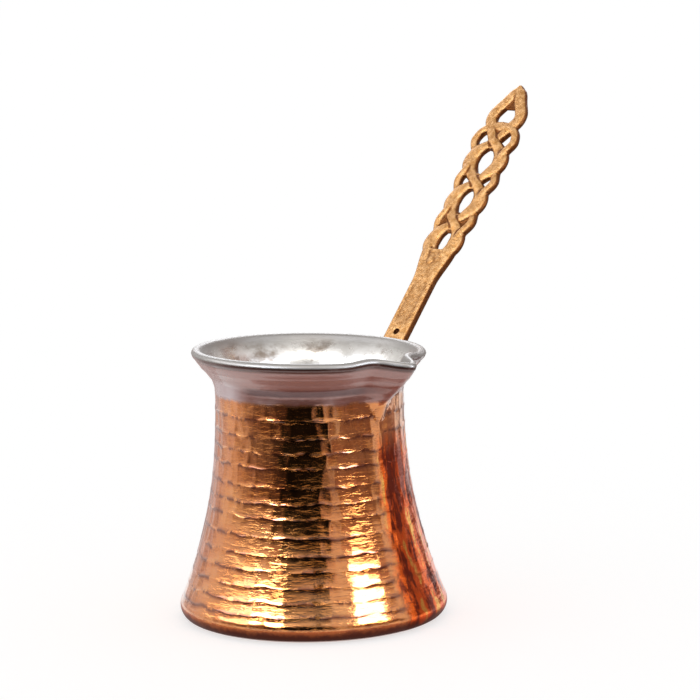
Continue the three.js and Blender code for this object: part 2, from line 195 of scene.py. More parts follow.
def evenly(line, step):
    # the same line with points about one step apart
    lengths = np.concatenate([[0], np.cumsum(np.linalg.norm(np.diff(line, axis=0), axis=1))])
    count = max(2, int(round(lengths[-1] / step)) + 1)
    at = np.linspace(0, lengths[-1], count)
    return np.stack([np.interp(at, lengths, line[:, 0]), np.interp(at, lengths, line[:, 1])], -1)


def levelLine(radius, height, count):
    # straight outwards from the axis
    return np.stack([np.linspace(0, radius, count), np.full(count, float(height))], -1)


s = potShape
fine = np.linspace(0, 1, 400)
heelCentre = np.array([s["baseRadius"] - s["heelRadius"], s["heelRadius"]])
heelTop = polar(heelCentre, s["heelRadius"], s["wallLean"])
neckPoint = np.array([s["neckRadius"], s["neckHeight"]])
heelLine = polar(heelCentre, s["heelRadius"], -pi / 2 + fine * (pi / 2 + s["wallLean"]))
wallLine = bezier(heelTop, polar(heelTop, s["heelPull"], pi / 2 + s["wallLean"]),
                  neckPoint - [0, s["neckPull"]], neckPoint, fine)
lipCentre = np.array([s["lipRadius"] - s["lipEdge"], s["lipHeight"] - s["lipEdge"]])
lipUnder, lipInner = -pi / 3, s["flareSlope"] + pi / 2
flareTop = polar(lipCentre, s["lipEdge"], lipUnder)
flareLine = bezier(neckPoint, neckPoint + [0, s["flareRise"]],
                   polar(flareTop, -s["flarePull"], s["flareSlope"]), flareTop, fine)
lipLine = polar(lipCentre, s["lipEdge"], lipUnder + fine * (lipInner - lipUnder))
mouthTop = polar(lipCentre, s["lipEdge"], lipInner)
mouthFoot = neckPoint - [s["wall"], 0]
mouthLine = bezier(mouthFoot, mouthFoot + [0, s["flareRise"]],
                   polar(mouthTop, -s["flarePull"], s["flareSlope"]), mouthTop, fine)
innerHeelLine = polar(heelCentre, s["heelRadius"] - s["wall"], -pi / 2 + fine * (pi / 2 + s["wallLean"]))
innerWallLine = offsetLine(wallLine, s["wall"])


def wallRadius(height):
    # read off the wall's curve
    return np.interp(height, wallLine[:, 1], wallLine[:, 0])


def lipShift(angle, height):
    # how far a point of the pot moves outwards and upwards: outwards by a bell curve across the spout that
    # grows up the wall, upwards by bell curves on its flanks, less a dip in it and the slant of the lip
    across = np.arctan2(np.sin(angle - s["spoutAngle"]), np.cos(angle - s["spoutAngle"])) * s["lipRadius"]
    rise = smoothStep(height, s["spoutBottom"], s["spoutBottom"] + s["spoutRise"])
    mouth = smoothStep(height, s["neckHeight"], s["lipHeight"])
    beak = np.exp(-(across / s["spoutWidth"]) ** 2)
    flanks = np.exp(-((np.abs(across) - s["flankSpread"]) / s["flankWidth"]) ** 2)
    return (rise * s["spoutReach"] * beak,
            mouth * (s["flankLift"] * flanks - s["spoutDip"] * beak - s["lipDrop"] * np.cos(angle)))


def hammering(angle, height):
    # inward depth of the rows of round blows, and how near a point is to the line between two rows. A blow is
    # its strength times 1 - 0.8 x^2 - 0.2 x^4 across it, plus its tilts; the deepest counts at each place, on
    # a shallow band that fades to the lines as 1 - y^4. The nearness is a bell curve round the lines
    h = hammerMarks
    edges = np.array(h["rowEdges"])
    rows = len(edges) - 1
    draw = np.random.default_rng(h["seed"])
    middles = (edges[1:] + edges[:-1]) / 2
    counts = np.round(2 * pi * wallRadius(middles) / h["blowWidth"]).astype(int)
    shape = (rows, counts.max())
    shifts = draw.uniform(0, 1, rows)
    strays = draw.uniform(-h["blowJitter"], h["blowJitter"], shape)
    strengths = draw.uniform(1 - h["blowSpread"], 1 + h["blowSpread"], shape)
    sideTilts = draw.uniform(-h["sideTilt"], h["sideTilt"], shape)
    upTilts = draw.uniform(-h["upTilt"], h["upTilt"], shape)
    bands = h["bandDepth"] * draw.uniform(1 - h["rowSpread"], 1 + h["rowSpread"], rows)
    fullness = np.linspace(h["lowest"], h["highest"], rows)
    row = np.clip(np.searchsorted(edges, height) - 1, 0, rows - 1)
    rise = np.clip((height - edges[row]) / (edges[row + 1] - edges[row]), 0, 1) * 2 - 1
    place = angle / (2 * pi) * counts[row] + shifts[row]
    dish = np.zeros(place.shape)
    for step in (-1, 0, 1):
        cell = np.floor(place).astype(int) + step
        which = cell % counts[row]
        away = (place - cell - 0.5 - strays[row, which]) * 2
        blow = (strengths[row, which] * (1 - 0.8 * away ** 2 - 0.2 * away ** 4)
                + sideTilts[row, which] * away + upTilts[row, which] * rise)
        dish += np.exp(blow * h["blowMerge"])    # their sum's logarithm is a soft maximum
    dish = np.log(dish) / h["blowMerge"]
    toLine = np.abs(height[..., None] - edges).min(-1)
    patches = 1 + h["patchiness"] * waves(angle, height, h["seed"] + 2, h["patchTurns"])
    patches = np.clip(patches, *h["patchLimits"])
    depth = (1 - rise ** 4) * patches * fullness[row] * (bands[row] + h["blowDepth"] * (dish + h["blowBase"]))
    return depth, np.exp(-(toLine / h["lineWidth"]) ** 2)


def beatenHeights():
    # heights of the wall's rings of points, closer together near the lines between the rows of blows
    edges = np.array(hammerMarks["rowEdges"])
    shares = (np.array(hammerMarks["rings"]) + 1) / 2
    inside = (edges[:-1, None] + shares * np.diff(edges)[:, None]).ravel()
    inside = inside[inside > heelTop[1] + 0.2]    # none too close to the heel's last ring
    return np.concatenate([[heelTop[1]], inside, [edges[-1], s["neckHeight"]]])


def turnedSkin(line, beaten, turned):
    # a profile carried round the pot's axis: each point goes inwards along the profile's normal by the depth
    # of the blows and turning marks, and outwards and upwards by the shift of the spout and lip
    h = hammerMarks
    along = unit(np.gradient(line, axis=0))
    normal = np.stack([along[:, 1], -along[:, 0]], -1)
    angle = roundTurn(s["columns"])[None, :]
    radius, height = line[:, :1], line[:, 1:]
    depth, rowLine = hammering(angle, np.broadcast_to(height, (len(line), s["columns"])))
    depth, rowLine = depth * beaten[:, None], rowLine * beaten[:, None]
    fade = beaten[:, None] * smoothStep(height, h["rowEdges"][0], h["rowEdges"][1]) * smoothStep(
        height, h["rowEdges"][-1], h["rowEdges"][-2])
    height = height + fade * h["lineWobble"] * waves(angle, height, h["seed"] + 1, h["wobbleTurns"])
    radius = np.where(beaten[:, None] > 0, wallRadius(height), radius)
    for place, stands, halfWidth in s["turningMarks"]:
        depth = depth - turned[:, None] * stands * np.exp(-((height - place) / halfWidth) ** 2)
    out, up = lipShift(angle, height)
    share = np.clip(radius / s["neckRadius"], 0, 1)
    reach = radius + out * share - depth * normal[:, :1]
    tall = height + up * share - depth * normal[:, 1:]
    return roundAxis(reach, angle, tall), rowLine


def makeCopperPot():
    # the profile from the middle of the base up the outside, over the lip and down the inside to the middle
    # of the inner floor, turned round the axis
    step = s["steps"]
    heights = beatenHeights()
    wall = np.stack([wallRadius(heights), heights], -1)
    parts = [    # points, whether they are beaten, whether they are turned
        (evenly(levelLine(heelCentre[0], 0, 50), step["floor"]), 0, 0),
        (evenly(heelLine, step["heel"])[1:], 0, 0),
        (wall[1:], 1, 0),
        (evenly(flareLine, step["flare"])[1:], 0, 1),
        (evenly(lipLine, step["lip"])[1:], 0, 0),
        (evenly(mouthLine, step["mouth"])[::-1][1:], 0, 0),
        (evenly(innerWallLine, step["innerWall"])[::-1][1:], 0, 0),
        (evenly(innerHeelLine, step["innerHeel"])[::-1][1:], 0, 0),
        (np.array([[s["innerRing"], s["wall"]], [0.0, s["wall"]]]), 0, 0),
    ]
    line = np.concatenate([part for part, _, _ in parts])
    beaten = np.concatenate([np.full(len(part), flag, float) for part, flag, _ in parts])
    turned = np.concatenate([np.full(len(part), flag, float) for part, _, flag in parts])
    grid, rowLine = turnedSkin(line, beaten, turned)
    height = np.repeat(line[:, 1:], s["columns"], 1)
    angle = np.repeat(np.linspace(0, 1, s["columns"], endpoint=False)[None], len(line), 0)
    points, faces, values = poleToPole(grid, {"rowLine": rowLine, "profileHeight": height, "turn": angle})
    print("copper pot triangles", 2 * len(faces[0]) + len(faces[1]))
    return makeMesh("copperPot", points, faces, values)


tinShape = {
    "seat": 0.2, "thickness": 0.3,   # as the lining's solid inside the pot
    "rimSeat": 0.02, "rimThickness": 0.10,   # where the tin wraps over the lip
    "rimEnd": radians(4),            # angle of the lip's round where the tin stops, above level
    "rimPoints": 16, "columns": 420,
    "thinning": 12,                  # rings of points over which it gets thinner towards the rim
    "steps": {"floor": 4.0, "heel": 0.8, "wall": 1.3, "mouth": 0.7},
}


def makeTinLining():
    # the pot's inner line from the middle of its floor over the lip, moved off the copper once by the seat
    # and once by seat and thickness; the two meet at the rim and turn round the axis with the lip's shift
    t = tinShape
    step = t["steps"]
    inner = np.concatenate([
        evenly(levelLine(heelCentre[0], s["wall"], 40), step["floor"]),
        evenly(innerHeelLine, step["heel"])[1:],
        evenly(innerWallLine, step["wall"])[1:-1],
        evenly(mouthLine, step["mouth"]),
    ])
    rim = polar(lipCentre, s["lipEdge"], np.linspace(lipInner, t["rimEnd"], t["rimPoints"]))[1:]
    line = np.concatenate([inner, rim])
    along = unit(np.gradient(line, axis=0))
    left = np.stack([-along[:, 1], along[:, 0]], -1)
    left[0] = [0, 1]                 # straight up at the axis
    onRim = smoothStep(np.arange(len(line)), len(inner) - t["thinning"], len(inner))
    seat = t["seat"] + (t["rimSeat"] - t["seat"]) * onRim
    depth = seat + (t["thickness"] + (t["rimThickness"] - t["thickness"]) * onRim)
    outer = line + left * seat[:, None]
    inside = line + left * depth[:, None]
    edge = (outer[-1] + inside[-1]) / 2 + along[-1] * t["rimThickness"] / 2
    closed = np.concatenate([outer, edge[None], inside[::-1]])
    guide = np.concatenate([line, line[-1:], line[::-1]])
    angle = roundTurn(t["columns"])[None, :]
    out, up = lipShift(angle, guide[:, 1:])
    share = np.clip(guide[:, :1] / s["neckRadius"], 0, 1)
    grid = roundAxis(closed[:, :1] + out * share, angle, closed[:, 1:] + up * share)
    points, faces, zones = poleToPole(grid, {"profileHeight": np.repeat(guide[:, 1:], t["columns"], 1)})
    return makeMesh("tinLining", points, faces, zones)


handleShape = {
    "footThickness": 2.6, "footSeat": 0.3, "footLand": 4.6,
    "slope": radians(49.8), "reach": 43.1, "mark": 88.0,
    "thickness": 3.0, "stemHalfWidth": 4.7, "stemLength": 22.0, "stemStep": 0.3,
    "bendRadius": 7.0, "shoulderLength": 13.5, "shoulderHalfWidth": 6.9,
    "panelRim": 1.2, "panelDepth": 0.18, "panelStart": 4.5, "panelFade": 3.0, "panelPast": 1.0,
    "hangHole": 1.1, "hangHolePlace": 1.6,
    "plaitStart": 38.55, "plaitStep": 8.53, "plaitSteps": 5, "leafGap": 0.8,
    "innerSwing": 5.25, "sideNear": 5.15, "sideFar": 6.8, "plaitGrowth": 0.3, "plaitBow": 0.85,
    "innerHalfWidth": 1.75, "innerBroadening": 1.6, "innerFullness": 1.5,
    "sideHalfWidth": 1.55, "sideFullness": 2.2, "strandHalfThickness": 1.45,
    "weaveHeight": 0.3, "pitFloorHalf": 0.5, "padHalf": 3.3, "padHalfWidth": 1.3, "padHalfThickness": 1.1,
    "leafLength": 23.1, "leafHalfWidth": 6.4, "leafStrandHalfWidth": 2.45,
    # the leaf's edge: share of its length, share of its half width
    "leafEdge": [[0.24, 0.67], [0.34, 0.94], [0.45, 0.96], [0.52, 0.86], [0.68, 0.49], [0.82, 0.25]],
    # the sunk web in the leaf's tip: share of the leaf's length, half width
    "leafWeb": [[0.56, 3.2], [0.7, 2.6], [0.82, 1.4]],
    # where the side strands close: share of the leaf's length, of their spread and of their half width
    "strandClose": [[0.114, 0.9, 1], [0.19, 0.67, 1.06], [0.218, 0.37, 1.42], [0.221, 0, 1.66]],
    "rivetSpread": 6.9, "rivetUpper": 69.6, "rivetLower": 56.0,
    "footEdge": 0.7,         # how much of the foot's thickness its rounded edge takes
    # where the stem rises out of the foot: height, share of the stem's half width
    "stemRoot": [(64.6, 0.8), (66.5, 0.93), (68.5, 1.0)],
    # the section of each bar: 2 is an ellipse, more is squarer
    "strandSquareness": 2.6, "stemSquareness": 7.0, "panelSquareness": 8.0, "floorSquareness": 4.0,
    "leafTip": (0.2, 0.7),   # how far the strands end inside the leaf's tip, and their half width there
    "routeStep": 0.7,
    "voxel": 0.27, "softenRounds": 5,
    "hollowRounds": 30, "blurRounds": 3,     # how far round a point its hollowness is measured and blurred
    "plainBelow": 3.0,       # everything this far under the mark, so the foot and the bend, stays plain
}

hs = handleShape
alongHandle = np.array([cos(hs["slope"]), 0, sin(hs["slope"])])
acrossHandle = np.array([0.0, 1.0, 0.0])
outOfHandle = np.array([-sin(hs["slope"]), 0, cos(hs["slope"])])
markPoint = np.array([hs["reach"], 0, hs["mark"]])
plaitEnd = hs["plaitStart"] + hs["plaitSteps"] * hs["plaitStep"] + hs["leafGap"]


def onHandle(distance, side, lift):
    # points so far along the straight handle from the mark, to its side and out of its face
    distance, side, lift = [np.asarray(value, float)[..., None] for value in (distance, side, lift)]
    return markPoint + distance * alongHandle + side * acrossHandle + lift * outOfHandle


def wallSlope(height):
    # how far the wall leans in from upright at a height
    return np.arctan2(wallRadius(height - 0.5) - wallRadius(height + 0.5), 1.0)


def barSkin(centres, sideways, lift, halfWidth, halfThickness, squareness, sides=20):
    # a superellipse carried along a path and closed with a point at each end: half width times |cos| to the
    # power 2 / squareness sideways, half thickness times |sin| to the same power along the lift
    turn = roundTurn(sides)
    power = 2 / squareness
    x = np.sign(np.cos(turn)) * np.abs(np.cos(turn)) ** power
    y = np.sign(np.sin(turn)) * np.abs(np.sin(turn)) ** power
    count = len(centres)
    halfWidth = np.broadcast_to(halfWidth, count)[:, None, None]
    halfThickness = np.broadcast_to(halfThickness, count)[:, None, None]
    grid = (centres[:, None] + halfWidth * x[None, :, None] * sideways[:, None]
            + halfThickness * y[None, :, None] * lift[:, None])
    grid = np.concatenate([grid[:1].mean(1, keepdims=True).repeat(sides, 1), grid,
                           grid[-1:].mean(1, keepdims=True).repeat(sides, 1)])
    points, faces, _ = poleToPole(grid)
    return points, faces


def smoothRoute(route, step=0.6):
    # a soft curve through rows of (distance, side, lift, half width), by repeated corner cutting
    route = np.asarray(route, float)
    for _ in range(2):
        cut = np.empty((2 * len(route) - 2, route.shape[1]))
        cut[0::2] = 0.75 * route[:-1] + 0.25 * route[1:]
        cut[1::2] = 0.25 * route[:-1] + 0.75 * route[1:]
        route = np.concatenate([route[:1], cut, route[-1:]])
    lengths = np.concatenate([[0], np.cumsum(np.linalg.norm(np.diff(route[:, :3], axis=0), axis=1))])
    at = np.linspace(0, lengths[-1], int(lengths[-1] / step))
    return np.stack([np.interp(at, lengths, route[:, i]) for i in range(route.shape[1])], -1)


def flatBar(distance, side, lift, halfWidth, halfThickness, squareness, sides=20):
    # a bar along the handle, its broad faces parallel to the handle's face
    spots = onHandle(distance, side, lift)
    frames = [np.tile(direction, (len(spots), 1)) for direction in (acrossHandle, outOfHandle)]
    return barSkin(spots, *frames, halfWidth, halfThickness, squareness, sides)


def strandSkin(route):
    # a rounded bar along a soft route, kept square to the route and flat to the handle's face
    route = smoothRoute(route)
    spots = onHandle(route[:, 0], route[:, 1], route[:, 2])
    heading = unit(np.gradient(spots, axis=0))
    sideways = unit(np.cross(outOfHandle, heading))
    lift = np.cross(heading, sideways)
    return barSkin(spots, sideways, lift, route[:, 3], hs["strandHalfThickness"], hs["strandSquareness"])


def plaitShare(distance):
    # 0 at the plait's start, 1 at its end
    return (distance - hs["plaitStart"]) / (plaitEnd - hs["plaitStart"])


def widening(distance):
    # the plait's width there as a share of its width at the start, growing evenly
    return 1 + hs["plaitGrowth"] * plaitShare(distance)


def bow(distance):
    # how far the plait's middle bends to one side: half a sine wave from its start to its end
    return -hs["plaitBow"] * np.sin(pi * np.clip(plaitShare(distance), 0, 1))


def innerRoute(hand):
    # one of the two strands that cross in the middle and end in the leaf: it swings as a cosine that crosses
    # the middle at every second step, over and under the other strand, and then follows the leaf's edge
    distance = np.arange(hs["plaitStart"] - hs["plaitStep"], plaitEnd, hs["routeStep"])
    turn = (distance - hs["plaitStart"]) / hs["plaitStep"] * pi / 2
    swing = np.stack([
        distance,
        hand * hs["innerSwing"] * widening(distance) * np.cos(turn) + bow(distance),
        -hand * hs["weaveHeight"] * np.cos(4 * turn) * np.sin(turn),
        hs["innerHalfWidth"] + hs["innerBroadening"] * np.abs(np.cos(turn)) ** hs["innerFullness"]], -1)
    outward = np.sign(swing[-1, 1]) * hs["leafHalfWidth"]
    strand = hs["leafStrandHalfWidth"]
    leaf = [[plaitEnd + length * hs["leafLength"], outward * share, 0, strand]
            for length, share in hs["leafEdge"] + [[1 - strand / hs["leafLength"], 0]]]
    inset, tip = hs["leafTip"]
    return np.concatenate([swing, leaf, [[plaitEnd + hs["leafLength"] - inset, 0, 0, tip]]])


def sideRoute(hand):
    # a strand up one side that swings out between the crossings as a raised cosine and closes over the last
    distance = np.arange(hs["plaitStart"] - hs["plaitStep"], plaitEnd, hs["routeStep"])
    turn = (distance - hs["plaitStart"]) / hs["plaitStep"] * pi
    raised = ((1 - np.cos(turn)) / 2) ** hs["sideFullness"]
    swing = hs["sideNear"] + (hs["sideFar"] - hs["sideNear"]) * raised
    root = hs["stemHalfWidth"] - hs["sideHalfWidth"]
    side = root + (swing - root) * smoothStep(distance, hs["plaitStart"] - hs["plaitStep"], hs["plaitStart"])
    wave = np.stack([distance, hand * side * widening(distance) + bow(distance),
                     -hand * hs["weaveHeight"] * np.sin(turn),
                     np.full(len(distance), hs["sideHalfWidth"])], -1)
    spread = hand * hs["sideFar"] * widening(plaitEnd)
    close = [[plaitEnd + length * hs["leafLength"], spread * share, 0, hs["sideHalfWidth"] * width]
             for length, share, width in hs["strandClose"]]
    return np.concatenate([wave, close])


def stemSkin():
    # a flat bar up the middle of the foot, round the bend as an arc, then straight and widening by an S-curve
    # to the shoulder of the plait
    footX = s["neckRadius"] + hs["footSeat"] + hs["stemStep"] + hs["thickness"] / 2
    bendHeight = hs["mark"] - (hs["reach"] - footX) * tan(hs["slope"])
    turn = pi / 2 - hs["slope"]
    tangent = hs["bendRadius"] * tan(turn / 2)
    stations = [[footX, height, 0, hs["stemHalfWidth"] * share]
                for height, share in hs["stemRoot"] + [(bendHeight - tangent, 1.0)]]
    for angle in np.linspace(0, turn, 9)[1:]:
        stations.append([footX + hs["bendRadius"] * (1 - cos(angle)),
                         bendHeight - tangent + hs["bendRadius"] * sin(angle), angle, hs["stemHalfWidth"]])
    for distance in np.arange(1.0, hs["stemLength"] + hs["shoulderLength"] + 0.1, 0.5):
        spot = onHandle(distance, 0, 0)
        wide = hs["stemHalfWidth"] + (hs["shoulderHalfWidth"] - hs["stemHalfWidth"]) * smoothStep(
            distance, hs["stemLength"], hs["stemLength"] + hs["shoulderLength"])
        stations.append([spot[0], spot[2], turn, float(wide)])
    stations = np.array(stations)
    count = len(stations)
    centres = np.stack([stations[:, 0], np.zeros(count), stations[:, 1]], -1)
    lift = np.stack([-np.cos(stations[:, 2]), np.zeros(count), np.sin(stations[:, 2])], -1)
    sideways = np.tile(acrossHandle, (count, 1))
    return barSkin(centres, sideways, lift, stations[:, 3], hs["thickness"] / 2, hs["stemSquareness"], 40)


def footSkin():
    # a shield: the outline round three rivet lands, shrunk to its middle in steps and laid on the wall; rows
    # run from the back's middle over the edge to the front's
    side = np.arctan2(hs["rivetSpread"], hs["rivetUpper"] - hs["rivetLower"])
    arcs = [(hs["rivetSpread"], hs["rivetUpper"], -side, pi / 2),
            (-hs["rivetSpread"], hs["rivetUpper"], pi / 2, pi + side),
            (0.0, hs["rivetLower"], pi + side, 2 * pi - side)]
    outline = np.concatenate([polar((y, z), hs["footLand"], np.linspace(start, end, 16))
                              for y, z, start, end in arcs])
    outline = evenly(np.concatenate([outline, outline[:1]]), 0.8)[:-1]
    centre = np.array([0, (2 * hs["rivetUpper"] + hs["rivetLower"]) / 3])
    # each row's size as a share of the outline, and its height as a share of the thickness
    inset = np.array([0.0, 0.3, 0.6, 0.85, 0.97, 0.995, 1.0, 1.0, 0.995, 0.97, 0.93, 0.85, 0.6, 0.3, 0.0])
    proud = np.array([0, 0, 0, 0, 0, 0.05, 0.2, 1 - hs["footEdge"], 0.86, 0.93, 0.98, 1, 1, 1, 1])
    flat = centre + inset[:, None, None] * (outline - centre)
    lean = wallSlope(flat[..., 1])
    reach = wallRadius(flat[..., 1]) + (hs["footSeat"] + proud[:, None] * hs["footThickness"]) / np.cos(lean)
    grid = np.stack([np.sqrt(reach ** 2 - flat[..., 0] ** 2), flat[..., 0], flat[..., 1]], -1)
    points, faces, _ = poleToPole(grid)
    return points, faces


def tubeAlong(start, end, radius, sides=32):
    # a straight round bar between two points
    start, end = np.array(start, float), np.array(end, float)
    heading = unit(end - start)
    sideways = unit(np.cross(heading, [0.3, 1, 0.2]))    # any direction across it does
    lift = np.cross(heading, sideways)
    ends = np.stack([start, end])
    return barSkin(ends, np.tile(sideways, (2, 1)), np.tile(lift, (2, 1)), radius, radius, 2.0, sides)


def joined(name, skins):
    # one mesh of several closed skins
    points, faces, start = [], [], 0
    for skin, parts in skins:
        points.append(skin)
        faces += [part + start for part in parts]
        start += len(skin)
    return makeMesh(name, np.concatenate(points), faces)


def readRows(items, label, width, kind=np.float32):
    # a property of a mesh's points or edges as an array with that many columns
    values = np.empty(len(items) * width, kind)
    items.foreach_get(label, values)
    return values.reshape(-1, width)


def applied(item):
    # the object with its modifiers made part of its mesh
    depsgraph = bpy.context.evaluated_depsgraph_get()
    mesh = bpy.data.meshes.new_from_object(item.evaluated_get(depsgraph))
    item.modifiers.clear()
    old = item.data
    item.data = mesh
    bpy.data.meshes.remove(old)


def makeHandle():
    # one casting: the stem with its panel and hole cut, joined with the foot, the strands of plait and leaf,
    # the floor under the first crossing, the leaf's web and a pad in each crossing, remeshed as one skin and
    # softened
    bar = joined("handleBar", [stemSkin()])
    panelEnd = hs["stemLength"] + hs["panelPast"]
    panel = np.array([hs["panelStart"], hs["panelStart"] + hs["panelFade"],
                      panelEnd - hs["panelFade"], panelEnd])
    hole = hs["hangHolePlace"]
    cutters = [    # the hole goes clear through; the panel's ends are a little narrower and much shallower
        tubeAlong(onHandle(hole, 0, -4), onHandle(hole, 0, 4), hs["hangHole"]),
        flatBar(panel, 0, hs["thickness"] / 2,
                (hs["stemHalfWidth"] - hs["panelRim"]) * np.array([0.9, 1, 1, 0.9]),
                hs["panelDepth"] * np.array([0.2, 1, 1, 0.2]), hs["panelSquareness"], 32),
    ]
    for cutter in cutters:
        tool = joined("cutter", [cutter])
        cut = bar.modifiers.new("cut", "BOOLEAN")
        cut.operation, cut.solver, cut.object = "DIFFERENCE", "EXACT", tool
        applied(bar)
        bpy.data.objects.remove(tool)
    strands = [strandSkin(route) for route in (innerRoute(1), innerRoute(-1), sideRoute(1), sideRoute(-1))]
    pits = hs["plaitStart"] + hs["plaitStep"] * np.array([0.5, 1.5])
    pitFloor = flatBar(pits, bow(pits), 0, hs["sideFar"], hs["pitFloorHalf"], hs["floorSquareness"])
    webPlaces, webHalfWidths = np.array(hs["leafWeb"]).T
    leafWeb = flatBar(plaitEnd + hs["leafLength"] * webPlaces, 0, 0, webHalfWidths, hs["pitFloorHalf"],
                      hs["floorSquareness"])
    pads = []
    for step in range(1, hs["plaitSteps"] + 1, 2):
        ends = (hs["plaitStart"] + step * hs["plaitStep"]) + hs["padHalf"] * np.array([-1, -0.8, 0, 0.8, 1])
        pads.append(flatBar(ends, bow(ends), 0, hs["padHalfWidth"] * np.array([0.7, 1, 1, 1, 0.7]),
                            hs["padHalfThickness"], hs["strandSquareness"]))
    item = joined("castHandle", [footSkin(), pitFloor, leafWeb] + pads + strands)
    with bpy.context.temp_override(active_object=item, object=item, selected_editable_objects=[item, bar],
                                   selected_objects=[item, bar]):
        bpy.ops.object.join()
    merge = item.modifiers.new("merge", "REMESH")
    merge.mode, merge.voxel_size = "VOXEL", hs["voxel"] * millimetre
    soften = item.modifiers.new("soften", "SMOOTH")
    soften.factor, soften.iterations = 0.5, hs["softenRounds"]
    applied(item)
    mesh = item.data
    count = len(mesh.vertices)
    points = readRows(mesh.vertices, "co", 3).astype(float) / millimetre
    normals = readRows(mesh.vertices, "normal", 3).astype(float)
    links = readRows(mesh.edges, "vertices", 2, np.int32)
    degree = np.bincount(links.ravel(), minlength=count)[:, None]

    def spread(values, rounds):
        # each value blended half and half with the mean of its neighbours', a number of rounds
        for _ in range(rounds):
            total = np.zeros_like(values)
            for column in range(values.shape[1]):
                total[:, column] = (np.bincount(links[:, 0], values[links[:, 1], column], count)
                                    + np.bincount(links[:, 1], values[links[:, 0], column], count))
            values = 0.5 * values + 0.5 * total / np.maximum(degree, 1)
        return values

    # what the brass reads for its painted shade: how hollow a place is, how far it lies from the handle's
    # middle plane, and how squarely it faces out of the handle
    hollow = ((spread(points, hs["hollowRounds"]) - points) * normals).sum(1, keepdims=True)
    hollow = spread(hollow, hs["blurRounds"])[:, 0]
    facing = spread(np.abs(normals @ outOfHandle)[:, None], hs["blurRounds"])[:, 0]
    onFoot = points[:, 2] < hs["mark"] - hs["plainBelow"]
    lift = np.where(onFoot, hs["thickness"], np.abs((points - markPoint) @ outOfHandle))
    addAttributes(mesh, {"hollow": hollow, "lift": lift, "facing": np.where(onFoot, 1.0, facing)})
    mesh.shade_smooth()
    print("handle polygons", len(mesh.polygons))
    return item


rivetShape = {
    "shank": 1.6, "play": 0.3, "head": 2.9, "headHeight": 1.7, "tail": 2.7, "tailHeight": 0.9,
    "headEdge": 0.12, "tailEdge": 0.1, "edgeShare": 0.97, "headFullness": 0.9, "columns": 40,
    "tailCurve": [(0, 1), (0.5, 0.97), (0.82, 0.8), (0.97, 0.45)],    # shares of the tail's radius and height
    "places": {"rivet_upper_left": (hs["rivetSpread"], hs["rivetUpper"]),
               "rivet_upper_right": (-hs["rivetSpread"], hs["rivetUpper"]),
               "rivet_lower": (0.0, hs["rivetLower"])},
}


def makeRivet(node, name):
    # a profile from the tail inside along the shank and over a domed head, whose radius goes as a cosine and
    # height as a power of the sine, turned round a line square to the wall and carried round to its place
    r = rivetShape
    side, height = r["places"][node]
    sag = r["tail"] ** 2 / (2 * wallRadius(height))    # how far the round wall falls away under the tail
    headFace = hs["footSeat"] + hs["footThickness"] + r["play"]
    tailFace = -(s["wall"] + tinShape["seat"] + tinShape["thickness"] + r["play"] + sag)
    domeFoot = headFace + r["headEdge"]
    profile = [[r["tail"] * out, tailFace - r["tailHeight"] * rise] for out, rise in r["tailCurve"]]
    profile += [[r["tail"], tailFace - r["tailEdge"]], [r["tail"] * r["edgeShare"], tailFace],
                [r["shank"], tailFace], [r["shank"], headFace], [r["head"] * r["edgeShare"], headFace],
                [r["head"], domeFoot]]
    profile += [[r["head"] * cos(turn),
                 domeFoot + (r["headHeight"] - r["headEdge"]) * sin(turn) ** r["headFullness"]]
                for turn in np.linspace(0, pi / 2, 10)[1:-1]]
    radius, reach = np.array(profile + [[0, headFace + r["headHeight"]]]).T[:, :, None, None]
    turn = roundTurn(r["columns"])[None, :, None]
    lean = wallSlope(height)
    outward = np.array([cos(lean), 0, sin(lean)])
    upward = np.array([-sin(lean), 0, cos(lean)])
    grid = (np.array([wallRadius(height), 0, height]) + reach * outward
            + radius * (np.cos(turn) * acrossHandle + np.sin(turn) * upward))
    about = np.arcsin(side / wallRadius(height))
    spun = np.stack([grid[..., 0] * cos(about) - grid[..., 1] * sin(about),
                     grid[..., 0] * sin(about) + grid[..., 1] * cos(about), grid[..., 2]], -1)
    points, faces, _ = poleToPole(spun)
    return makeMesh(name, points, faces)


def setInputs(tree, item, inputs):
    # each input is either a value or another node's output
    for label, value in inputs.items():
        if isinstance(value, bpy.types.NodeSocket):
            tree.links.new(value, item.inputs[label])
        else:
            item.inputs[label].default_value = value


def addNode(tree, kind, settings=None, inputs=None):
    item = tree.nodes.new(kind)
    for label, value in (settings or {}).items():
        setattr(item, label, value)
    setInputs(tree, item, inputs or {})
    return item


def blendColours(tree, share, first, second):
    item = addNode(tree, "ShaderNodeMix", {"data_type": "RGBA"}, {0: share, 6: first, 7: second})
    return item.outputs[2]


def between(tree, value, low, high, toLow=0.0, toHigh=1.0):
    # toLow below low, toHigh above high, a soft S-curve between them; low may be the larger one
    item = addNode(tree, "ShaderNodeMapRange", {"interpolation_type": "SMOOTHSTEP"}, {
        "Value": value, "From Min": low, "From Max": high, "To Min": toLow, "To Max": toHigh})
    return item.outputs["Result"]


def maths(tree, operation, first, second=0.0):
    item = addNode(tree, "ShaderNodeMath", {"operation": operation}, {0: first, 1: second})
    return item.outputs[0]


def times(tree, first, second):
    return maths(tree, "MULTIPLY", first, second)


def plus(tree, first, second):
    return maths(tree, "ADD", first, second)


def larger(tree, first, second):
    return maths(tree, "MAXIMUM", first, second)


def band(tree, value, start, full, fading, end):
    # 0 up to start, 1 from full to fading, 0 again from end
    return times(tree, between(tree, value, start, full), between(tree, value, end, fading))


def above(base, rises):
    # heights given by how far they are above another height
    return [base + rise for rise in rises]


def bumped(tree, relief, strength, distance):
    return addNode(tree, "ShaderNodeBump", None, {
        "Strength": strength, "Distance": distance, "Height": relief}).outputs[0]


